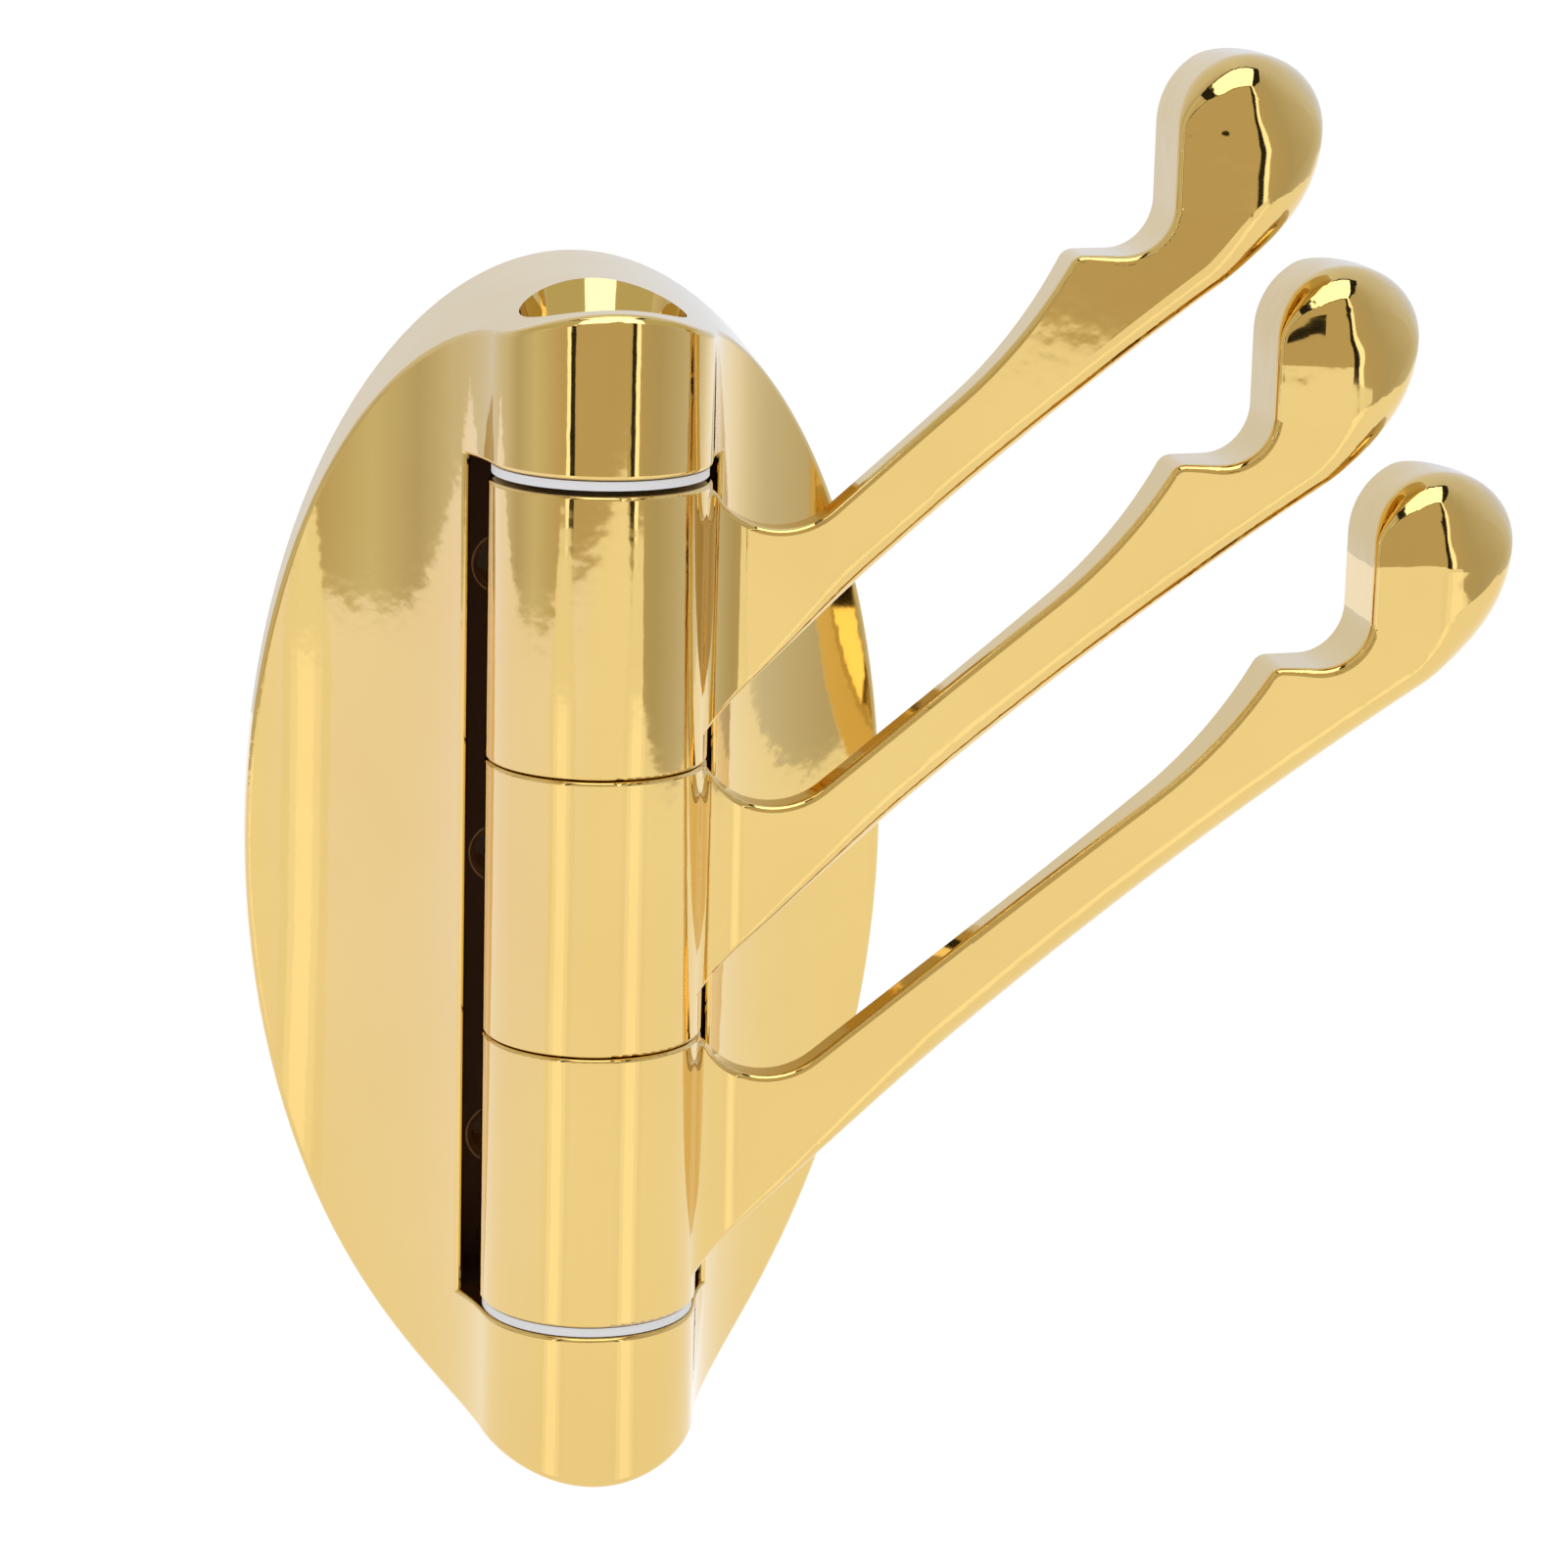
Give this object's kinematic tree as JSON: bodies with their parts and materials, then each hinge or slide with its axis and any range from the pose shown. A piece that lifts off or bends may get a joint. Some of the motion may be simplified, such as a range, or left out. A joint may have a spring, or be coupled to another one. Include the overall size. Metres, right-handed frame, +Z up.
{
  "type": "folding wall hook",
  "caption": "Polished gold wall hook: an oval cast base whose round spine carries swing arms, each with an upturned finger, that fold flat to either side on one upright bolt.",
  "frame": {"origin": "centre of the base's back face, on the wall", "axes": "+Z up along the pivot, -Y out of the wall, +X to the right seen from the front"},
  "size_m": [0.1142, 0.0324, 0.1317],
  "materials": {
    "gold_plating": "mirror-polished gold plating on cast zinc",
    "white_nylon": "satin white",
    "bolt_steel": "zinc-plated steel"
  },
  "bodies": {
    "base": {"base": "gold_plating", "top_washer": "white_nylon", "bottom_washer": "white_nylon", "pivot_bolt": "bolt_steel"},
    "upper_arm": {"upper_arm": "gold_plating"},
    "middle_arm": {"middle_arm": "gold_plating"},
    "lower_arm": {"lower_arm": "gold_plating"}
  },
  "joints": [
    {"name": "upper_swing", "type": "hinge", "parent": "base", "child": "upper_arm", "pos_m": [0, -0.0224, 0], "axis": [0, 0, -1], "range_deg": [0, 180]},
    {"name": "middle_swing", "type": "hinge", "parent": "base", "child": "middle_arm", "pos_m": [0, -0.0224, 0], "axis": [0, 0, -1], "range_deg": [0, 180]},
    {"name": "lower_swing", "type": "hinge", "parent": "base", "child": "lower_arm", "pos_m": [0, -0.0224, 0], "axis": [0, 0, -1], "range_deg": [0, 180]}
  ]
}
